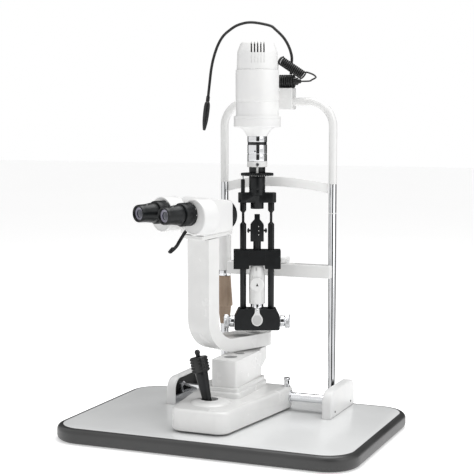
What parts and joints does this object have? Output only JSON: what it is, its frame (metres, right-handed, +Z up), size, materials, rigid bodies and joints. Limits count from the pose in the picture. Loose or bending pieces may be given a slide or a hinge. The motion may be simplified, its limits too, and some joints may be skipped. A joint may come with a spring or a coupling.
{
  "type": "slit lamp",
  "caption": "Slit lamp on its table top: joystick cross-slide base, swinging binocular microscope and lamp tower, chin rest, forehead strap and fixation light.",
  "frame": {"origin": "middle of the underside of the instrument table", "axes": "+Z up, +Y from the examiner to the patient, +X to the examiner's right"},
  "size_m": [0.625, 0.432, 0.834],
  "materials": {
    "white_castings": "white gloss enamel on cast aluminium",
    "white_covers": "white, moulded or light hollow covers",
    "white_tube": "white enamel on steel tube",
    "table_board": "white glossy laminate on board",
    "edge_band": "dark grey edging",
    "black_anodised": "black anodised",
    "black_plastic": "black moulded plastic",
    "black_rubber": "black rubber",
    "chrome": "bright chrome",
    "steel": "turned steel",
    "brown_plastic": "ribbed brown plastic",
    "mirror": "front-silvered"
  },
  "bodies": {
    "stand": {"table_top": "table_board", "table_edge_band": "edge_band", "rail_cover_left": "white_covers", "rail_cover_right": "white_covers", "rack_left": "steel", "rack_right": "steel", "pole_left": "chrome", "pole_right": "chrome", "arch_tube": "white_tube", "forehead_band": "white_covers", "fixation_bracket": "white_castings"},
    "carriage": {"axle_sleeve": "chrome"},
    "axle": {"axle": "steel", "pinion_left": "steel", "pinion_right": "steel"},
    "base": {"base_housing": "white_castings"},
    "base_lock": {"base_lock_knob": "chrome"},
    "joystick": {"joystick_shaft": "black_anodised"},
    "grip": {"joystick_grip": "black_rubber"},
    "button": {"joystick_button": "black_plastic"},
    "lift": {"lift_block": "white_castings", "swing_post": "chrome"},
    "microscope": {"microscope_arm": "white_castings", "microscope_plate": "white_castings", "microscope_body": "white_covers", "objective": "black_anodised"},
    "prism_left": {"prism_housing_left": "white_covers", "eyepiece_left": "black_anodised"},
    "prism_right": {"prism_housing_right": "white_covers", "eyepiece_right": "black_anodised"},
    "dioptre_left": {"dioptre_ring_left": "black_anodised"},
    "dioptre_right": {"dioptre_ring_right": "black_anodised"},
    "magnifier": {"magnification_lever": "black_anodised"},
    "tower": {"tower_arm": "white_castings"},
    "tilt": {"tower_foot": "black_anodised", "pillar_left": "black_anodised", "pillar_right": "black_anodised", "tower_middle_block": "black_anodised", "centring_column": "white_castings", "light_tube": "black_anodised"},
    "slit_width": {"slit_knob_left": "chrome", "slit_knob_right": "chrome"},
    "latch": {"tilt_latch": "white_castings"},
    "mirror": {"mirror_head": "black_anodised", "mirror_glass": "mirror"},
    "centring": {"centring_knob": "white_castings"},
    "aperture": {"aperture_disc": "black_anodised"},
    "lamp": {"slit_ring": "white_castings", "scale_barrel": "chrome", "lamp_housing": "white_covers", "lamp_cap": "white_covers"},
    "chin_rest": {"chin_bar": "white_castings", "chin_cup": "white_covers"},
    "chin_turn": {"chin_grip": "brown_plastic"},
    "fixation": {"fixation_knob": "black_plastic", "gooseneck": "black_rubber", "fixation_lamp": "black_plastic", "cord_out": "black_rubber", "cord_coil": "black_rubber", "cord_back": "black_rubber"}
  },
  "joints": [
    {"name": "base_fore_aft", "type": "slide", "parent": "stand", "child": "carriage", "axis": [0, 1, 0], "range_m": [-0.032, 0.033]},
    {"name": "axle_roll", "type": "hinge", "parent": "carriage", "child": "axle", "pos_m": [0.0055, 0.1, 0.0585], "axis": [1, 0, 0], "range_deg": [-190, 170]},
    {"name": "base_sideways", "type": "slide", "parent": "carriage", "child": "base", "axis": [1, 0, 0], "range_m": [-0.044, 0.046]},
    {"name": "base_lock_turn", "type": "hinge", "parent": "base", "child": "base_lock", "pos_m": [0.072, 0.11, 0.086], "axis": [0, 0, 1], "range_deg": [0, 90]},
    {"name": "joystick_tilt", "type": "hinge", "parent": "base", "child": "joystick", "pos_m": [-0.0197, -0.077, 0.05], "axis": [1, 0, 0], "range_deg": [-8, 8]},
    {"name": "joystick_turn", "type": "hinge", "parent": "joystick", "child": "grip", "pos_m": [-0.0197, -0.077, 0.05], "axis": [-0.2164, 0, 0.9763], "range_deg": [-300, 510]},
    {"name": "joystick_press", "type": "slide", "parent": "joystick", "child": "button", "axis": [-0.2164, 0, 0.9763], "range_m": [-0.002, 0], "stiffness_N_per_m": 300},
    {"name": "microscope_lift", "type": "slide", "parent": "base", "child": "lift", "axis": [0, 0, 1], "range_m": [-0.01, 0.017]},
    {"name": "microscope_swing", "type": "hinge", "parent": "lift", "child": "microscope", "pos_m": [-0.011, 0.148, 0.168], "axis": [0, 0, -1], "range_deg": [-84.6, 35.4]},
    {"name": "tower_swing", "type": "hinge", "parent": "lift", "child": "tower", "pos_m": [-0.011, 0.148, 0.185], "axis": [0, 0, 1], "range_deg": [-65, 25.4]},
    {"name": "eye_distance_left", "type": "hinge", "parent": "microscope", "child": "prism_left", "pos_m": [-0.13881, -0.01345, 0.429], "axis": [0.4163, 0.9092, 0], "range_deg": [0, 55]},
    {"name": "dioptre_turn_left", "type": "hinge", "parent": "prism_left", "child": "dioptre_left", "pos_m": [-0.14322, -0.04662, 0.444], "axis": [-0.4163, -0.9092, 0], "range_deg": [-60, 60]},
    {"name": "eye_distance_right", "type": "hinge", "parent": "microscope", "child": "prism_right", "pos_m": [-0.0497, -0.05425, 0.429], "axis": [-0.4163, -0.9092, 0], "range_deg": [0, 55]},
    {"name": "dioptre_turn_right", "type": "hinge", "parent": "prism_right", "child": "dioptre_right", "pos_m": [-0.07193, -0.07926, 0.444], "axis": [-0.4163, -0.9092, 0], "range_deg": [-60, 60]},
    {"name": "magnification_turn", "type": "hinge", "parent": "microscope", "child": "magnifier", "pos_m": [-0.08868, -0.02166, 0.4115], "axis": [0.9092, -0.4163, 0], "range_deg": [-15, 20]},
    {"name": "tower_tilt", "type": "hinge", "parent": "tower", "child": "tilt", "pos_m": [0.00898, 0.09999, 0.2108], "axis": [0.9232, 0.3843, 0], "range_deg": [0, 20]},
    {"name": "slit_width_turn", "type": "hinge", "parent": "tilt", "child": "slit_width", "pos_m": [0.00898, 0.09999, 0.2108], "axis": [0.9232, 0.3843, 0], "range_deg": [0, 90]},
    {"name": "tilt_latch_turn", "type": "hinge", "parent": "tilt", "child": "latch", "pos_m": [0.01721, 0.08024, 0.2168], "axis": [0.3843, -0.9232, 0], "range_deg": [-20, 20]},
    {"name": "mirror_swivel", "type": "hinge", "parent": "tilt", "child": "mirror", "pos_m": [0.00898, 0.09999, 0.3575], "axis": [0, 0, 1], "range_deg": [-10, 10]},
    {"name": "centring_turn", "type": "hinge", "parent": "tilt", "child": "centring", "pos_m": [0.01686, 0.08107, 0.2902], "axis": [0.3843, -0.9232, 0], "range_deg": [-90, 90]},
    {"name": "aperture_turn", "type": "hinge", "parent": "tilt", "child": "aperture", "pos_m": [0.00898, 0.09999, 0.516], "axis": [0, 0, 1], "continuous": true},
    {"name": "lamp_turn", "type": "hinge", "parent": "tilt", "child": "lamp", "pos_m": [0.00898, 0.09999, 0.63], "axis": [0, 0, 1], "range_deg": [-90, 90]},
    {"name": "chin_rest_lift", "type": "slide", "parent": "stand", "child": "chin_rest", "axis": [0, 0, 1], "range_m": [0, 0.08]},
    {"name": "chin_grip_turn", "type": "hinge", "parent": "stand", "child": "chin_turn", "pos_m": [-0.105, 0.197, 0.243], "axis": [0, 0, 1], "range_deg": [0, 1440]},
    {"name": "fixation_swing", "type": "hinge", "parent": "stand", "child": "fixation", "pos_m": [0.0365, 0.197, 0.707], "axis": [1, 0, 0], "range_deg": [-20, 35]}
  ],
  "couplings": [
    {"joint": "axle_roll", "follows": "base_fore_aft", "rad_per_m": -87.719},
    {"joint": "joystick_turn", "follows": "microscope_lift", "rad_per_m": 523.6},
    {"joint": "eye_distance_right", "follows": "eye_distance_left", "ratio": 1},
    {"joint": "chin_grip_turn", "follows": "chin_rest_lift", "rad_per_m": 314.16}
  ]
}
